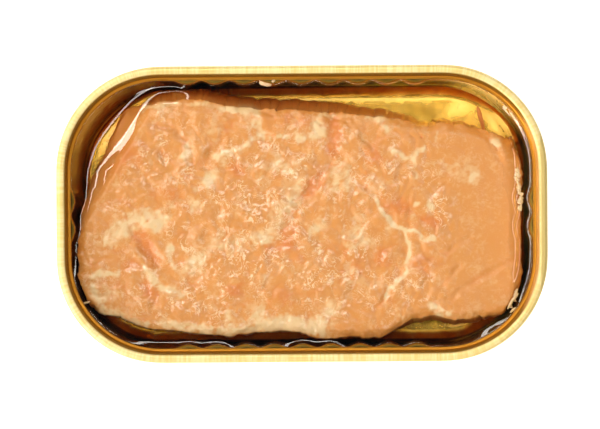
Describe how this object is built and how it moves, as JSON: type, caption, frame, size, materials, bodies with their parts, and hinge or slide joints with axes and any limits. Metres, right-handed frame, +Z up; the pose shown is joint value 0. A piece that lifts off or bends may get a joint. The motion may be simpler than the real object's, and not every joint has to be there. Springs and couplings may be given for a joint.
{
  "type": "can of salmon",
  "caption": "Open rectangular fish can with ribbed walls, a rolled seam ring and no lid, holding a salmon fillet in oil.",
  "frame": {"origin": "middle of the can's footprint, on the surface it stands on", "axes": "+X along the can's length, +Y across it towards the edge at the top of the overhead view, +Z up"},
  "size_m": [0.105, 0.0634, 0.024],
  "materials": {
    "lacquered_tray": "gloss gold lacquer on sheet metal",
    "lacquered_rim": "gloss pale gold lacquer with faint cross streaks",
    "salmon": "moist cooked fish, soft sheen with small wet glints",
    "oil": "clear yellow oil"
  },
  "bodies": {
    "root": {"can_body": "lacquered_tray", "lid_ring": "lacquered_rim", "salmon_fillet": "salmon", "oil": "oil"}
  },
  "joints": []
}
